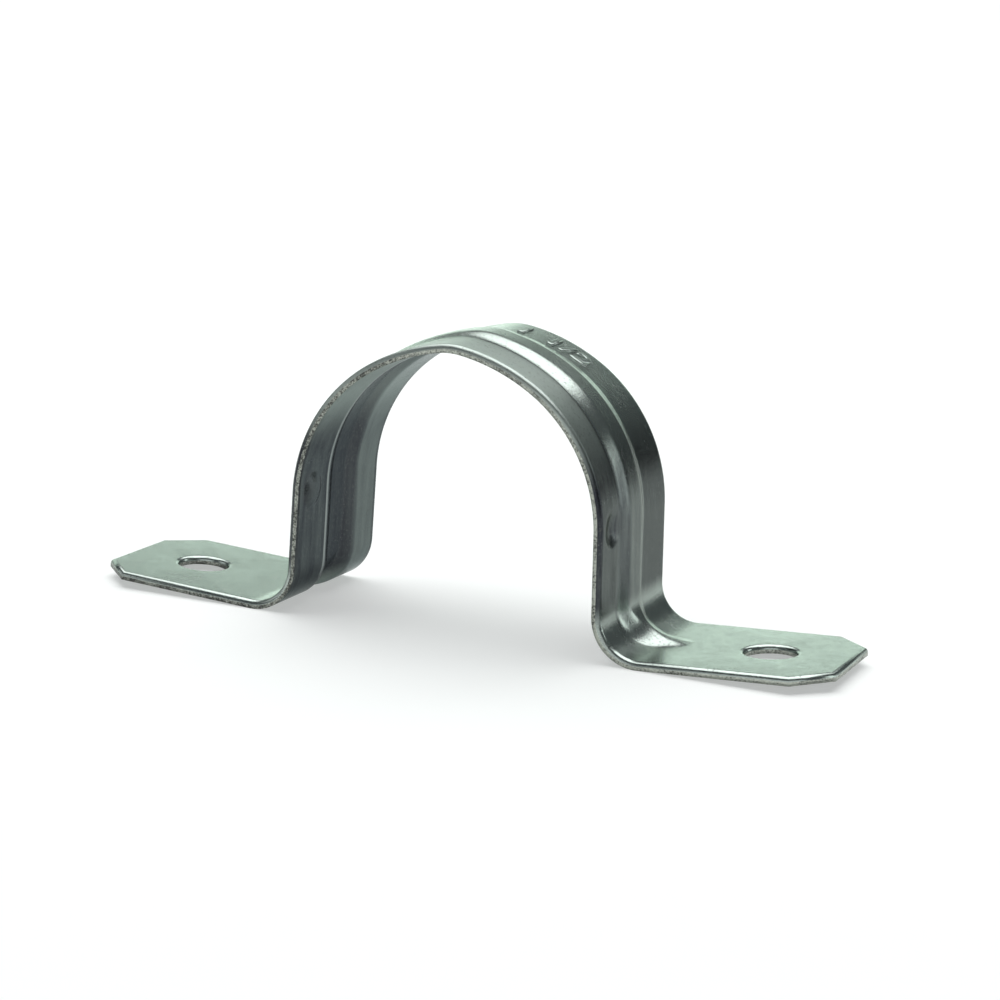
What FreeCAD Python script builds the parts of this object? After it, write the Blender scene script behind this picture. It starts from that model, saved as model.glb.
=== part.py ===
"""Two-hole conduit strap, pressed from one strip of zinc-plated sheet steel.

The strip rises from a foot on each side, round a concave bend, up a leg and over a saddle that
holds the conduit. A stiffening rib is pressed outwards along its middle, over the saddle and
down both legs; it bridges the bends and runs out in a rounded point on each foot. Two small
nibs are pressed inwards on the front band, where the conduit is widest, and grip it.

X runs from foot to foot, Y along the conduit and Z up. The origin is midway between the legs,
on the surface that the bends stand on. The strap is drawn as it leaves the press, sprung open:
its legs splay a little and its toes stand clear, and the screws pull both flat.
"""
import FreeCAD, Part
from FreeCAD import Vector, Placement, Rotation
import math
import os

# Sheet and saddle
SHEET = 1.2
STRAP_WIDTH = 25.0
SADDLE_RADIUS = 22.5
SADDLE_CENTRE_HEIGHT = 17.2

# The crown stands a little proud of the conduit, so that the screws draw the saddle down on it
CROWN_PEAK_RADIUS = 9.5
CROWN_PEAK_HALF_ANGLE = 9.7
CROWN_HALF_ANGLE = 31.5

# Legs, bends and feet
LEG_SPLAY = 1.6
TOE_LIFT = 3.2
BEND_RADIUS = 5.5
OVERALL_LENGTH = 112.5
TOE_CHAMFER = 5.0
HOLE_SPACING = 89.4
HOLE_DIAMETER = 7.3
SHEARED_EDGE_BREAK = 0.25

# Stiffening rib, which swells over the bend and then ends in a nose on the foot
RIB_WIDTH = 9.8
RIB_TOP_WIDTH = 3.6
RIB_HEIGHT = 0.65
RIB_SWELL = 0.45
RIB_NOSE_LENGTH = 3.4
RIB_NOSE_SHARE = 0.3

# Grip nibs, pressed as shallow domes
NIB_RADIUS = 2.4
NIB_HEIGHT = 0.55
NIB_FROM_EDGE = 4.2
NIB_DROP = 0.2

# How many steps the rib is drawn through, from the leg to the end of its nose
RUN_OUT_STEPS = 9

SEWING_TOLERANCE = 0.0001
Y_AXIS = Vector(0, 1, 0)
HALF_WIDTH = STRAP_WIDTH / 2


def unit(angle_deg):
    """Direction in the XZ plane, at this angle above +X."""
    angle = math.radians(angle_deg)
    return Vector(math.cos(angle), 0, math.sin(angle))


def section(origin, outward, rib_height=RIB_HEIGHT, rib_share=1.0):
    """Closed outline of the sheet at a station, with a rib of this height pressed outwards.

    origin lies on the strip's underside at Y = 0, and outward is the sheet's normal there.
    rib_share is the rib's width there, as a share of its full width.
    """
    foot = RIB_WIDTH / 2 * rib_share
    top = RIB_TOP_WIDTH / 2 * rib_share
    flank = foot - top
    # the inner curve keeps the sheet's thickness on the flank when its handles move in by this
    lean = SHEET * math.sin(math.atan(2 * rib_height / flank)) / 0.75
    lean = min(lean, 0.3 * flank)
    corner = SHEARED_EDGE_BREAK

    def at(y, rise):
        return origin + Y_AXIS * y + outward * rise

    def flank_curve(side, base, shift):
        curve = Part.BezierCurve()
        handles = (top, rib_height), (top + flank / 2 - shift, rib_height), (foot - flank / 2 - shift, 0), (foot, 0)
        curve.setPoles([at(side * y, base + rise) for y, rise in handles])
        return curve.toShape()

    edges = [
        Part.makeLine(at(-top, SHEET + rib_height), at(top, SHEET + rib_height)),
        Part.makeLine(at(-top, rib_height), at(top, rib_height)),
    ]
    for side in (-1, 1):
        edge = side * HALF_WIDTH
        rim = at(edge - side * corner, SHEET), at(edge, SHEET - corner)
        edges += [
            flank_curve(side, SHEET, 0),
            Part.makeLine(at(side * foot, SHEET), rim[0]),
            Part.makeLine(*rim),
            Part.makeLine(rim[1], at(edge, 0)),
            Part.makeLine(at(edge, 0), at(side * foot, 0)),
            flank_curve(side, 0, lean),
        ]
    return Part.Wire(Part.__sortEdges__(edges))


def saddle():
    """Faces of the saddle's right half, and of the whole peak, each arc turned about its centre."""
    peak_end = 90 - CROWN_PEAK_HALF_ANGLE
    shoulder_end = 90 - CROWN_HALF_ANGLE
    saddle_centre = Vector(0, 0, SADDLE_CENTRE_HEIGHT)
    # the shoulder's arc meets the peak's and the saddle's without a kink
    reach = SADDLE_RADIUS * unit(shoulder_end).x - CROWN_PEAK_RADIUS * unit(peak_end).x
    shoulder_radius = reach / (unit(shoulder_end).x - unit(peak_end).x)
    shoulder_centre = saddle_centre + unit(shoulder_end) * (SADDLE_RADIUS - shoulder_radius)
    peak_centre = shoulder_centre + unit(peak_end) * (shoulder_radius - CROWN_PEAK_RADIUS)
    arcs = [
        (peak_centre, CROWN_PEAK_RADIUS, 90 + CROWN_PEAK_HALF_ANGLE, peak_end),
        (shoulder_centre, shoulder_radius, peak_end, shoulder_end),
        (saddle_centre, SADDLE_RADIUS, shoulder_end, LEG_SPLAY),
    ]
    shells = []
    for centre, radius, upper, lower in arcs:
        start = section(centre + unit(upper) * radius, unit(upper))
        shells.append(start.revolve(centre, Y_AXIS, upper - lower))
    return shells[0].Faces, shells[1].Faces + shells[2].Faces


def leg_ends():
    """The leg's two ends and the centre of the bend below it, on the strip's underside."""
    outward = unit(LEG_SPLAY)
    radius = BEND_RADIUS + SHEET
    top = Vector(0, 0, SADDLE_CENTRE_HEIGHT) + outward * SADDLE_RADIUS
    length = (top.z - radius * (1 - outward.z)) / -unit(LEG_SPLAY - 90).z
    bottom = top + unit(LEG_SPLAY - 90) * length
    return top, bottom, bottom + outward * radius


def heel():
    """Where the flat foot begins, on the strip's underside."""
    return leg_ends()[2] + unit(TOE_LIFT - 90) * (BEND_RADIUS + SHEET)


def leg():
    """Faces of the straight leg below the saddle."""
    top, bottom, centre = leg_ends()
    return section(top, unit(LEG_SPLAY)).extrude(bottom - top).Faces


def bend():
    """Faces of the bend and of the foot as far as the rib's nose, drawn through sections."""
    radius = BEND_RADIUS + SHEET
    centre = leg_ends()[2]
    start = 180 + LEG_SPLAY
    turn = 90 + TOE_LIFT - LEG_SPLAY
    arc_length = math.radians(turn) * radius
    whole = arc_length + RIB_NOSE_LENGTH
    wires = []
    for step in range(RUN_OUT_STEPS + 1):
        share = step / RUN_OUT_STEPS
        path = share * whole
        if path < arc_length:
            outward = unit(start + turn * path / arc_length) * -1
            origin = centre - outward * radius
        else:
            outward = unit(TOE_LIFT + 90)
            origin = heel() + unit(TOE_LIFT) * (path - arc_length)
        height = (RIB_HEIGHT + RIB_SWELL * math.sin(math.pi * share)) * (1 - share ** 4) ** 1.5
        width = RIB_NOSE_SHARE + (1 - RIB_NOSE_SHARE) * (1 - share ** 2.5)
        wires.append(section(origin, outward, height, width))
    return Part.makeLoft(wires, False, False).Faces


def foot():
    """Faces of the flat foot: two corners cut off, a broken upper edge and a screw hole."""
    origin = heel() + unit(TOE_LIFT) * RIB_NOSE_LENGTH
    length = (OVERALL_LENGTH / 2 - origin.x) / math.cos(math.radians(TOE_LIFT))
    outline = [
        (0, -HALF_WIDTH),
        (length - TOE_CHAMFER, -HALF_WIDTH),
        (length, TOE_CHAMFER - HALF_WIDTH),
        (length, HALF_WIDTH - TOE_CHAMFER),
        (length - TOE_CHAMFER, HALF_WIDTH),
        (0, HALF_WIDTH),
    ]
    points = [Vector(x, y, 0) for x, y in outline]
    plate = Part.Face(Part.makePolygon(points + points[:1])).extrude(Vector(0, 0, SHEET))
    rim = [e for e in plate.Edges if e.BoundBox.ZMin > SHEET / 2 and e.BoundBox.XMax > SHEET]
    plate = plate.makeChamfer(SHEARED_EDGE_BREAK, rim)
    joint = min(range(len(plate.Faces)), key=lambda n: plate.Faces[n].BoundBox.XMax)
    plate.Placement = Placement(origin, Rotation(Y_AXIS, -TOE_LIFT))
    drill = Part.makeCylinder(HOLE_DIAMETER / 2, 4 * BEND_RADIUS, Vector(HOLE_SPACING / 2, 0, -BEND_RADIUS))
    drilled = plate.cut(drill)
    start = plate.Faces[joint].CenterOfMass
    return [f for f in drilled.Faces if f.CenterOfMass.distanceToPoint(start) > SHEET / 2]


def press_nib(strap, side):
    """Push a small dome inwards: sheet is added inside and taken away outside."""
    ball = (NIB_RADIUS ** 2 + NIB_HEIGHT ** 2) / (2 * NIB_HEIGHT)
    seat = Vector(side * SADDLE_RADIUS, NIB_FROM_EDGE - HALF_WIDTH, SADDLE_CENTRE_HEIGHT - NIB_DROP)
    centre = seat + Vector(side * (ball - NIB_HEIGHT), 0, 0)
    cap = Part.makeBox(2 * SHEET, 4 * ball, 4 * ball, seat - Vector(SHEET * (1 + side / 2), 2 * ball, 2 * ball))
    dome = Part.makeSphere(ball, centre).common(cap)
    return strap.fuse(dome).cut(Part.makeSphere(ball - SHEET, centre))


def strap():
    """The whole strap: one closed skin of the right half, the peak and the mirrored left half."""
    peak, half = saddle()
    half = half + leg() + bend() + foot()
    left = [f.mirror(Vector(0, 0, 0), Vector(1, 0, 0)) for f in half]
    skin = Part.makeCompound(peak + half + left)
    skin.sewShape(SEWING_TOLERANCE)
    body = Part.Solid(skin.Shells[0] if skin.Shells else skin)
    for side in (-1, 1):
        body = press_nib(body, side)
    return body.Solids[0]


os.makedirs("parts", exist_ok=True)
strap().exportStep("parts/strap.step")
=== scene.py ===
# A two-hole conduit strap, pressed from one strip of zinc-plated sheet steel, on a white floor.
import math

import bmesh
import bpy
from mathutils import Euler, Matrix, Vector


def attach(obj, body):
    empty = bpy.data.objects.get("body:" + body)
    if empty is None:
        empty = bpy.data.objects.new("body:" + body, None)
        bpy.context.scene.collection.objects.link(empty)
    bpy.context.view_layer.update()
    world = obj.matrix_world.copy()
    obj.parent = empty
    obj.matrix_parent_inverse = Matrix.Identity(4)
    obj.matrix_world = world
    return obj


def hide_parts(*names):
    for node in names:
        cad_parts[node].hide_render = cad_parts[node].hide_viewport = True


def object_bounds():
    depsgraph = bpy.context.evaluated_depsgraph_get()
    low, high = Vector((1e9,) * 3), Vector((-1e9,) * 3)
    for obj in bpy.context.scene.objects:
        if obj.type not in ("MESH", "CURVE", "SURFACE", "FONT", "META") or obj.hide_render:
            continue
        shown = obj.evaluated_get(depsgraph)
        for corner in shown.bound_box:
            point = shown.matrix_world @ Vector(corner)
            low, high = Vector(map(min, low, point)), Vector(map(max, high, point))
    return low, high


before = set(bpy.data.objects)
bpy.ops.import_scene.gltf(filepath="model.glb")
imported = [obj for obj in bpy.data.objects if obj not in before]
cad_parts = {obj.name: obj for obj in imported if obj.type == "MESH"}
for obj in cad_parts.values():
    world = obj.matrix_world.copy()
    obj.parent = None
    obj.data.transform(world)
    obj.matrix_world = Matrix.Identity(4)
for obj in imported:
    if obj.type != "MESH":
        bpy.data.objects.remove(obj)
cad_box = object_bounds()
MM = 0.001


# The strap: one strip of 1.2 mm sheet, blanked flat with its corners cut and its holes punched,
# then folded round a saddle, two legs and two feet. The blank is made here as a flat grid and
# folded by moving its points on to the strip's line.
SHEET = 1.2 * MM
HALF_WIDTH = 12.5 * MM
CROWN_HEIGHT = 40.337 * MM
FOOT_LENGTH = 26.412 * MM
HOLE_FROM_TOE = 11.57 * MM
HOLE_RADIUS = 3.65 * MM
TOE_CHAMFER = 5.0 * MM
ROLLED_EDGE = 0.65 * MM
ROLLED_STEPS = 4
RIM_ROOM = 0.5 * MM
SHARP_ANGLE = math.radians(50)
CELL = 0.4 * MM
CELLS_ACROSS = 60
HOLE_SIDES = 64


def arc(radius_mm, degrees):
    """A stretch of the strip's underside: its length, and how far it turns downwards."""
    turn = math.radians(degrees)
    return abs(radius_mm * turn) * MM, turn


STRETCHES = [
    arc(9.5, 9.7),
    arc(28.687, 21.8),
    arc(22.5, 56.9),
    (11.32 * MM, 0.0),
    arc(6.7, -91.6),
    (FOOT_LENGTH, 0.0),
]
LEG_END = sum(length for length, turn in STRETCHES[:4])
BEND_END = LEG_END + STRETCHES[4][0]
TOE = BEND_END + FOOT_LENGTH


def underside(along):
    """Point and outward direction of the strip's underside, this far along it from the crown."""
    side = -1 if along < 0 else 1
    left = abs(along)
    x, z, heading = 0.0, CROWN_HEIGHT, 0.0
    for length, bend in STRETCHES:
        step = min(left, length)
        turn = bend * step / length
        if turn:
            radius = length / bend
            x += radius * (math.sin(heading + turn) - math.sin(heading))
            z += radius * (math.cos(heading + turn) - math.cos(heading))
        else:
            x += step * math.cos(heading)
            z -= step * math.sin(heading)
        heading += turn
        left -= step
    return Vector((side * x, 0, z)), Vector((side * math.sin(heading), 0, math.cos(heading)))


# The stiffening rib stands out of the strip's middle, swells over each bend and ends in a nose.
# The press leaves it a little nearer the back on the left leg, with a shorter nose there, and a
# little nearer the front on the right.
RIB_FOOT = 4.9 * MM
RIB_TOP = 1.8 * MM
RIB_HEIGHT = 0.65 * MM
RIB_LEG_GAIN = 0.3 * MM
RIB_SWELL = 0.5 * MM
RIB_DRIFT = 1.5 * MM
NOSE_SHARE = 0.3
NOSE_LENGTH = 3.4 * MM
LEFT_NOSE_LENGTH = 1.2 * MM
NOSE_ROOM = 0.8 * MM


def rib_at(along, y):
    """The rib's height, and the place on its flank: 0 on top, 1 at its foot, minus in front."""
    nose = NOSE_LENGTH if along > 0 else LEFT_NOSE_LENGTH
    share = (abs(along) - LEG_END) / (BEND_END + nose - LEG_END)
    share = min(max(share, 0.0), 1.0)
    swell = math.sin(math.pi * share)
    gain = RIB_LEG_GAIN * min(abs(along) / LEG_END, 1) ** 2
    height = (RIB_HEIGHT + gain + RIB_SWELL * swell) * (1 - share**4) ** 1.5
    width = NOSE_SHARE + (1 - NOSE_SHARE) * (1 - share**2.5)
    top = RIB_TOP * (1 - 0.9 * swell)
    drift = -RIB_DRIFT * math.sin(min(max(along / LEG_END, -1), 1) * math.pi / 2)
    drift *= 1 - share if along > 0 else 1
    across = max((abs(y - drift) / width - top) / (RIB_FOOT - top), 0.0)
    flank = min(across, 1.0)
    return height * (1 - flank * flank * (3 - 2 * flank)), math.copysign(across, y - drift)


# Two nibs are pressed inwards on the front band, where the conduit is widest.
NIB_ALONG = sum(length for length, turn in STRETCHES[:3])
NIB_Y = -8.3 * MM
NIB_RADIUS = 2.8 * MM
NIB_DEPTH = 0.7 * MM


def nib_rise(along, y):
    """The nib's height here, below the band's face."""
    reach = math.hypot(abs(along) - NIB_ALONG, y - NIB_Y) / NIB_RADIUS
    return -NIB_DEPTH * (1 - min(reach, 1.0) ** 2) ** 1.5


strap_mesh = bmesh.new()
GRID_END = BEND_END + NOSE_LENGTH + NOSE_ROOM
steps_along = 2 * round(GRID_END / CELL)
bmesh.ops.create_grid(strap_mesh, x_segments=steps_along, y_segments=CELLS_ACROSS, size=1)
for vert in strap_mesh.verts:
    vert.co.x *= GRID_END
    vert.co.y *= HALF_WIDTH if abs(vert.co.y) > 0.999 else HALF_WIDTH - RIM_ROOM

# Each toe is a flat face with two corners cut off and a punched hole.
for side in (-1, 1):
    end_x = side * GRID_END
    end_row = [e for e in strap_mesh.edges if all(abs(v.co.x - end_x) < 1e-6 for v in e.verts)]
    corners = sorted((v for e in end_row for v in e.verts), key=lambda v: v.co.y)
    near, far = corners[0], corners[-1]
    outline = [
        (TOE - TOE_CHAMFER, -HALF_WIDTH),
        (TOE, TOE_CHAMFER - HALF_WIDTH),
        (TOE, HALF_WIDTH - TOE_CHAMFER),
        (TOE - TOE_CHAMFER, HALF_WIDTH),
    ]
    toe = [near] + [strap_mesh.verts.new((side * x, y, 0)) for x, y in outline] + [far]
    rim = [strap_mesh.edges.new(pair) for pair in zip(toe, toe[1:])]
    hole = bmesh.ops.create_circle(strap_mesh, segments=HOLE_SIDES, radius=HOLE_RADIUS)["verts"]
    bmesh.ops.translate(strap_mesh, verts=hole, vec=(side * (TOE - HOLE_FROM_TOE), 0, 0))
    ring = list({e for v in hole for e in v.link_edges})
    outer_and_hole = end_row + rim + ring
    bmesh.ops.triangle_fill(strap_mesh, use_beauty=True, edges=outer_and_hole, normal=(0, 0, 1))

# The blank is folded, and each point keeps its place on the rib's flank for the finish. The sheet
# then gets its thickness. Known fault: the closed shell's faces point inwards here.
flank_layer = strap_mesh.verts.layers.float.new("rib_flank")
for vert in strap_mesh.verts:
    along, y = vert.co.x, vert.co.y
    point, outward = underside(along)
    rib_height, vert[flank_layer] = rib_at(along, y)
    rise = SHEET + rib_height + nib_rise(along, y)
    vert.co = point + outward * rise + Vector((0, y, 0))
bmesh.ops.recalc_face_normals(strap_mesh, faces=strap_mesh.faces)
outer_skin = set(strap_mesh.verts)
bmesh.ops.solidify(strap_mesh, geom=strap_mesh.faces, thickness=-SHEET)

# The sheared rim is rolled over on the punch's side and crisp on the other. It has a finish of its
# own, and so has the die's side, which is inside the saddle and under the feet.
for face in strap_mesh.faces:
    outer_corners = sum(v in outer_skin for v in face.verts)
    if outer_corners == 0:
        face.material_index = 2
    elif outer_corners < len(face.verts):
        face.material_index = 1
sharp = [e for e in strap_mesh.edges if e.is_manifold and e.calc_face_angle() > SHARP_ANGLE]
upper = [e for e in sharp if all(v in outer_skin for v in e.verts)]
bmesh.ops.bevel(
    strap_mesh,
    geom=upper,
    offset=ROLLED_EDGE,
    segments=ROLLED_STEPS,
    profile=0.5,
    affect="EDGES",
    clamp_overlap=False,
    material=0,
)
for face in strap_mesh.faces:
    face.smooth = True
strap_data = bpy.data.meshes.new("strap_skin")
strap_mesh.to_mesh(strap_data)
strap_mesh.free()
strap = bpy.data.objects.new("pressed_strap", strap_data)
bpy.context.scene.collection.objects.link(strap)
weighted = strap.modifiers.new("flat faces stay flat", "WEIGHTED_NORMAL")
weighted.keep_sharp = True
weighted.weight = 100


# Finish of the strap: bright zinc, plated over rolled sheet. The plating is slightly green and
# faintly uneven and its grain is fine. The legs get painted shade in upright streaks, standing for
# their dark reflections.
class Socket:
    """A node's output that takes part in Python sums."""

    def __init__(self, nodes, output):
        self.nodes = nodes
        self.output = output

    def sum_with(self, operation, other, swap=False):
        pair = (other, self) if swap else (self, other)
        return self.nodes.add("ShaderNodeMath", {"operation": operation}, {0: pair[0], 1: pair[1]})

    def __add__(self, other):
        return self.sum_with("ADD", other)

    __radd__ = __add__

    def __mul__(self, other):
        return self.sum_with("MULTIPLY", other)

    __rmul__ = __mul__

    def __sub__(self, other):
        return self.sum_with("SUBTRACT", other)

    def __rsub__(self, other):
        return self.sum_with("SUBTRACT", other, swap=True)

    def clamped(self, low, high):
        """0 at low and below, 1 at high and above, smooth between."""
        ends = {"From Min": low, "From Max": high}
        settings = {"interpolation_type": "SMOOTHSTEP"}
        return self.nodes.add("ShaderNodeMapRange", settings, {"Value": self, **ends})


class Finish:
    """A material and the nodes in it."""

    def __init__(self, name):
        self.material = bpy.data.materials.new(name)
        self.material.use_nodes = True
        self.tree = self.material.node_tree
        self.shader = self.tree.nodes["Principled BSDF"]

    def add(self, kind, settings=None, values=None, output=0):
        node = self.tree.nodes.new(kind)
        for name, value in (settings or {}).items():
            setattr(node, name, value)
        for name, value in (values or {}).items():
            self.feed(node.inputs[name], value)
        return Socket(self, node.outputs[output])

    def feed(self, target, value):
        if isinstance(value, Socket):
            self.tree.links.new(value.output, target)
        else:
            target.default_value = value

    def set(self, **values):
        for name, value in values.items():
            self.feed(self.shader.inputs[name.replace("_", " ")], value)

    def position(self, stretch=(1, 1, 1)):
        here = self.add("ShaderNodeTexCoord", output="Object")
        values = {"Vector": here, "Scale": stretch}
        return self.add("ShaderNodeMapping", {"vector_type": "POINT"}, values)

    def noise(self, per_metre, detail=2.0, roughness=0.5, stretch=(1, 1, 1)):
        values = {"Scale": per_metre, "Detail": detail, "Roughness": roughness}
        return self.add("ShaderNodeTexNoise", {}, {"Vector": self.position(stretch), **values})

    def blend(self, share, first, second):
        values = {"Factor": share, 6: first, 7: second}
        return self.add("ShaderNodeMix", {"data_type": "RGBA"}, values, output=2)


GRAIN, MOTTLE, BLOOM, PITS, STREAKS = 5200, 700, 110, 2400, 900  # cells per metre
STREAK_STRETCH = (1, 1, 0.08)
LEG_FADE = 4 * MM
LEG_TOP = 24 * MM, 34 * MM
FOOT_TOP = 2.9 * MM, 4.5 * MM
SADDLE_START = 20 * MM, 26 * MM
# Colour of the painted shade on the legs.
PAINTED_LEG_SHADE = (0.034, 0.036, 0.043, 1)
# Colour of the painted shade in the rib's hollow.
PAINTED_HOLLOW_SHADE = (0.06, 0.065, 0.068, 1)
PITTED = (0.12, 0.13, 0.12, 1)
BUMP_HEIGHT = 0.05 * MM


def zinc(name, bright, dull, scuffed, leg_shade, leg_shade_end, hollow_shade, painted_foot_line, glance):
    """Bright zinc. Painted shade darkens the legs in upright streaks, down to the end height, by
    one share on the front band, one on the rib and one on the back band. The rib's hollow gets
    painted shade by a share, and the line along the front of its foot a painted colour of its own."""
    plate = Finish(name)
    grain = plate.noise(GRAIN, detail=3, roughness=0.7)
    mottle = plate.noise(MOTTLE, detail=3, roughness=0.6)
    bloom = plate.noise(BLOOM, detail=2, roughness=0.5)
    pits = 1 - plate.noise(PITS, detail=2, roughness=0.6).clamped(0.30, 0.40)
    streaks = plate.noise(STREAKS, detail=3, roughness=0.6, stretch=STREAK_STRETCH)
    height_up = plate.add("ShaderNodeSeparateXYZ", {}, {"Vector": plate.position()}, output="Z")
    on_leg = height_up.clamped(leg_shade_end, leg_shade_end + LEG_FADE) * (1 - height_up.clamped(*LEG_TOP))
    flank = plate.add("ShaderNodeAttribute", {"attribute_name": "rib_flank"}, output="Fac")
    on_front, on_rib, on_back = leg_shade
    share = on_front + flank.clamped(-1.1, -0.9) * (on_rib - on_front)
    share = share + flank.clamped(0.9, 1.1) * (on_back - on_rib)
    # Painted shade on the legs, in upright streaks, with its own share on each band.
    leg_shade_share = on_leg * share * (0.75 + 0.5 * streaks)
    flank_squared = flank * flank
    above_foot = height_up.clamped(*FOOT_TOP)
    in_rib = (1 - flank_squared.clamped(0.5, 1.0)) * above_foot
    # The line along the front of the rib's foot is painted: shade on the outer side, a highlight on
    # the die's side.
    rib_foot = (1 - flank.clamped(-0.97, -0.88)) * flank.clamped(-1.12, -1.03) * above_foot
    front_band = (1 - flank.clamped(-1.3, -0.8)) * height_up.clamped(*SADDLE_START)
    dulled = bloom.clamped(0.35, 0.75) * 0.4 + mottle.clamped(0.4, 0.8) * 0.25
    colour = plate.blend(dulled, bright, dull)
    # Painted shade in the rib's hollow, seen from the die's side as a groove.
    colour = plate.blend(in_rib * hollow_shade, colour, PAINTED_HOLLOW_SHADE)
    colour = plate.blend(leg_shade_share, colour, PAINTED_LEG_SHADE)
    colour = plate.blend(pits * 0.5, colour, PITTED)
    colour = plate.blend(grain.clamped(0.58, 0.80) * 0.55, colour, scuffed)
    colour = plate.blend(rib_foot * 0.6, colour, painted_foot_line)
    height = grain * 0.9 + mottle * 0.25 + bloom * 0.8 + on_leg * streaks * 0.5 - pits * 0.3
    relief = {"Strength": 0.35, "Distance": BUMP_HEIGHT, "Height": height}
    bump = plate.add("ShaderNodeBump", {}, relief)
    plate.set(
        Base_Color=colour,
        Metallic=1.0,
        Roughness=0.14 + 0.12 * dulled + 0.14 * grain + 0.16 * front_band,
        Specular_Tint=glance,
        Normal=bump,
    )
    return plate.material


plating = zinc(
    "zinc_plating",
    bright=(0.42, 0.475, 0.445, 1),
    dull=(0.33, 0.37, 0.345, 1),
    scuffed=(0.55, 0.60, 0.57, 1),
    leg_shade=(0.95, 0.82, 1.02),
    leg_shade_end=4.2 * MM,
    hollow_shade=0.0,
    # painted shade along the front of the rib's foot
    painted_foot_line=(0.12, 0.13, 0.13, 1),
    glance=(0.78, 0.82, 0.78, 1),
)
strap_data.materials.append(plating)

# The sheared rim: torn and burnished by the shear in fine lines through the sheet, with less zinc.
SHEARED_COLOUR = (0.50, 0.53, 0.47, 1)
SHEARED_DARK = (0.07, 0.072, 0.068, 1)
TEARS, PATCHES = 4200, 260  # cells per metre
# Range along X over which painted shade darkens the rim towards its left end.
LEFT_SHADE_FADE = -35 * MM, 15 * MM
TEAR_DEPTH = 0.1 * MM
sheared = Finish("sheared_edge")
tears = sheared.noise(TEARS, detail=3, roughness=0.7)
patches = sheared.noise(PATCHES, detail=2, roughness=0.5)
across = sheared.add("ShaderNodeSeparateXYZ", {}, {"Vector": sheared.position()}, output="X")
# Painted shade: the rim is darker towards the left end, added to its real tears.
left_end_shade = 1 - across.clamped(*LEFT_SHADE_FADE)
torn_and_shaded = (tears * 0.7 + patches * 0.3 + left_end_shade * 0.09).clamped(0.42, 0.66)
edge_relief = {"Strength": 0.5, "Distance": TEAR_DEPTH, "Height": tears}
edge_bump = sheared.add("ShaderNodeBump", {}, edge_relief)
sheared.set(
    Base_Color=sheared.blend(torn_and_shaded, SHEARED_COLOUR, SHEARED_DARK),
    Metallic=0.85,
    Roughness=0.34 + 0.22 * torn_and_shaded,
    Normal=edge_bump,
)
strap_data.materials.append(sheared.material)

# The die's side, inside the saddle and under the feet, is a darker copy of the plating: painted
# shade.
shaded_die_side = zinc(
    "zinc_die_side",
    bright=(0.32, 0.375, 0.345, 1),
    dull=(0.24, 0.28, 0.26, 1),
    scuffed=(0.42, 0.47, 0.44, 1),
    leg_shade=(0.87, 0.84, 0.62),
    leg_shade_end=0.2 * MM,
    hollow_shade=0.65,
    # painted highlight along the front lip of the groove
    painted_foot_line=(0.42, 0.46, 0.44, 1),
    glance=(0.5, 0.52, 0.53, 1),
)
strap_data.materials.append(shaded_die_side)
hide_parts("strap")
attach(strap, "root")


# Size mark: plain raised numerals on the back band, coined by the same press stroke as the rib.
# They give the conduit's trade size.
MARK_START = 1.0 * MM
MARK_LINE = 6.2 * MM
MARK_TALL = 5.2 * MM
MARK_RAISED = 0.05 * MM
MARK_BEVEL = 0.2 * MM
SAME_POINT = 0.001 * MM
mark_curve = bpy.data.curves.new("size_mark", "FONT")
mark_curve.body = "1 1/2"
mark_curve.size = MARK_TALL
mark_curve.extrude = MARK_RAISED
mark_curve.bevel_depth = MARK_BEVEL
mark_curve.bevel_resolution = 3
mark_curve.space_character = 1.1
written = bpy.data.objects.new("size_mark_curve", mark_curve)
mark_data = bpy.data.meshes.new_from_object(written)
bpy.data.objects.remove(written)
bpy.data.curves.remove(mark_curve)
mark_mesh = bmesh.new()
mark_mesh.from_mesh(mark_data)
bmesh.ops.remove_doubles(mark_mesh, verts=mark_mesh.verts, dist=SAME_POINT)
for vert in mark_mesh.verts:
    point, outward = underside(MARK_START + vert.co.x)
    y = MARK_LINE + vert.co.y
    vert.co = point + outward * (SHEET + vert.co.z) + Vector((0, y, 0))
bmesh.ops.recalc_face_normals(mark_mesh, faces=mark_mesh.faces)
mark_mesh.to_mesh(mark_data)
mark_mesh.free()
mark_data.name = "size_mark"
mark_data.materials.clear()
mark_data.materials.append(plating)
mark = bpy.data.objects.new("size_mark", mark_data)
bpy.context.scene.collection.objects.link(mark)
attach(mark, "root")


# Camera, at a low three-quarter view of the front edge.
CAMERA_PLACE = (0.15054, -0.34343, 0.09993)
CAMERA_TURN = (77.6157, -2.5935, 23.7922)
CAMERA_LENS = 97.09
camera_data = bpy.data.cameras.new("camera")
camera_data.lens = CAMERA_LENS
camera_data.sensor_width = 36
camera_data.clip_start = 0.01
camera = bpy.data.objects.new("camera", camera_data)
camera.location = CAMERA_PLACE
camera.rotation_euler = Euler([math.radians(a) for a in CAMERA_TURN])
bpy.context.scene.collection.objects.link(camera)
bpy.context.scene.camera = camera
bpy.context.scene.view_settings.view_transform = "Standard"


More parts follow.
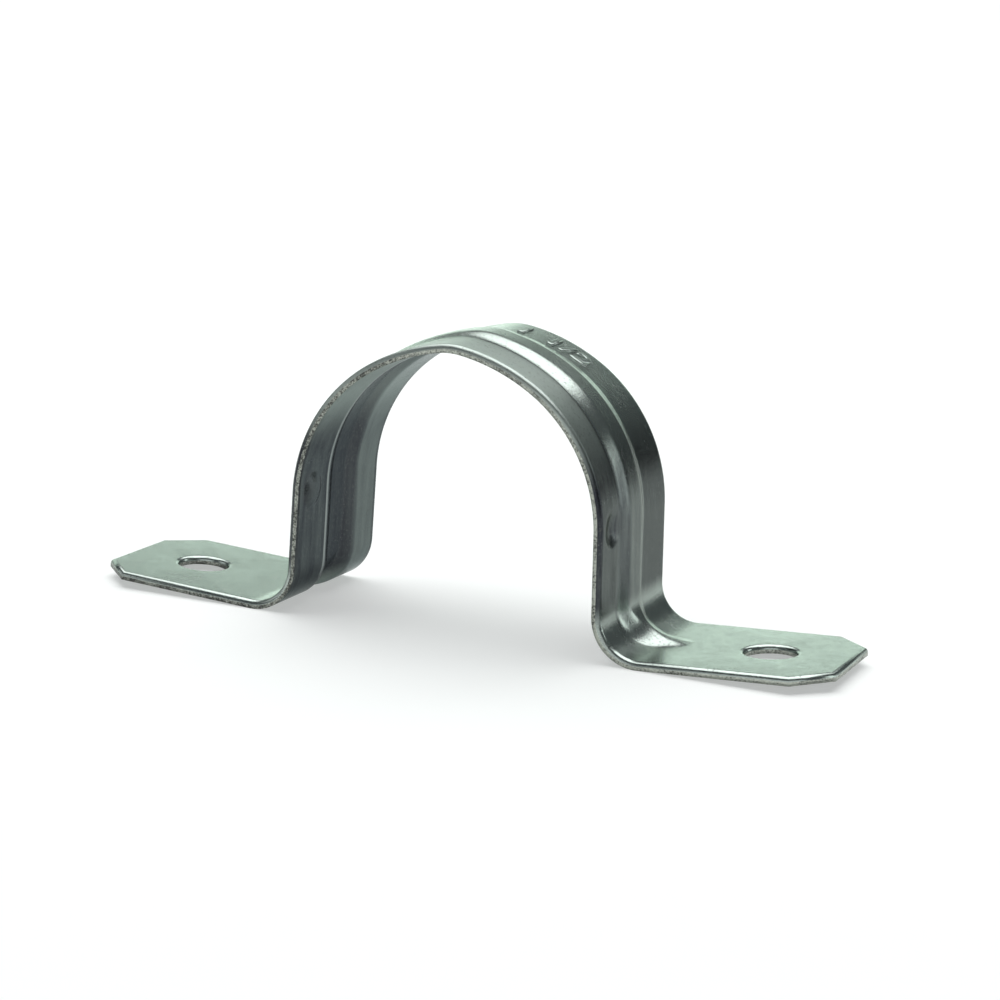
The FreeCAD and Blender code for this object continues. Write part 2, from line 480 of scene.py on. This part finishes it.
# Floor: a wide sheet of white paper. Eye, metal and glass all see it white, with the strap's
# faint shadow on it; as a source of light it is plain paper.
FLOOR_HALF_SIZE = 4
PAPER_COLOUR = (0.62, 0.64, 0.63, 1)
GLOW_NEAR = 0.38
GLOW_GAIN = 0.57
GLOW_RANGE = 0.2, 1.6
floor_mesh = bmesh.new()
bmesh.ops.create_grid(floor_mesh, x_segments=1, y_segments=1, size=FLOOR_HALF_SIZE)
floor_data = bpy.data.meshes.new("studio_floor")
floor_mesh.to_mesh(floor_data)
floor_mesh.free()
floor = bpy.data.objects.new("studio_floor", floor_data)
bpy.context.scene.collection.objects.link(floor)
floor.location.z = cad_box[0][2]
paper = Finish("white_paper")
paper.set(Base_Color=PAPER_COLOUR, Roughness=0.9)
plain = Socket(paper, paper.shader.outputs[0])
length = {"operation": "LENGTH"}
far_off = paper.add("ShaderNodeVectorMath", length, {0: paper.position()}, output="Value")
glow = GLOW_NEAR + GLOW_GAIN * far_off.clamped(*GLOW_RANGE)
white = paper.add("ShaderNodeEmission", {}, {"Color": (1, 1, 1, 1), "Strength": glow})
lit = paper.add("ShaderNodeAddShader", {}, {0: plain, 1: white})
camera_ray = paper.add("ShaderNodeLightPath", output="Is Camera Ray")
glossy_ray = paper.add("ShaderNodeLightPath", output="Is Glossy Ray")
through_ray = paper.add("ShaderNodeLightPath", output="Is Transmission Ray")
seen = camera_ray + glossy_ray + through_ray
shown = paper.add("ShaderNodeMixShader", {}, {0: seen, 1: plain, 2: lit})
paper.feed(paper.tree.nodes["Material Output"].inputs["Surface"], shown)
floor_data.materials.append(paper.material)


# Studio light: a dim room, a large softbox overhead and behind, a low bright strip at the back,
# a narrow strip at the right and two weak fills. The lamps themselves are out of sight.
ROOM_COLOUR = (0.10, 0.11, 0.115, 1)
WHITE = (1, 1, 1)
room = bpy.data.worlds.new("studio")
bpy.context.scene.world = room
room.use_nodes = True
room.node_tree.nodes["Background"].inputs["Color"].default_value = ROOM_COLOUR


def softbox(name, azimuth, elevation, distance, size, strength, colour):
    """A flat lamp that faces the object; the azimuth is 0 at +X and 90 at the back."""
    data = bpy.data.lights.new(name, "AREA")
    data.shape = "RECTANGLE"
    data.size, data.size_y = size
    data.energy = strength * math.pi * size[0] * size[1]
    data.color = colour
    lamp = bpy.data.objects.new(name, data)
    turn, lift = math.radians(azimuth), math.radians(elevation)
    aim = Vector((math.cos(lift) * math.cos(turn), math.cos(lift) * math.sin(turn), math.sin(lift)))
    lamp.location = aim * distance
    lamp.rotation_euler = aim.to_track_quat("Z", "Y").to_euler()
    lamp.visible_camera = False
    bpy.context.scene.collection.objects.link(lamp)


# Azimuth, elevation, distance, size, strength and colour of each lamp
LAMPS = {
    "overhead_softbox": (110, 73, 1.2, (1.6, 1.6), 2.5, WHITE),
    "low_back_strip": (116, 9, 1.6, (1.7, 0.5), 1.6, (0.88, 1.0, 0.92)),
    "right_strip": (32, 12, 1.3, (0.35, 0.6), 2.2, (0.95, 1.0, 0.97)),
    "left_fill": (200, 18, 1.5, (1.0, 0.7), 0.7, WHITE),
    "front_fill": (-72, 14, 1.8, (2.2, 0.8), 0.8, WHITE),
}
for lamp_name, lamp_settings in LAMPS.items():
    softbox(lamp_name, *lamp_settings)
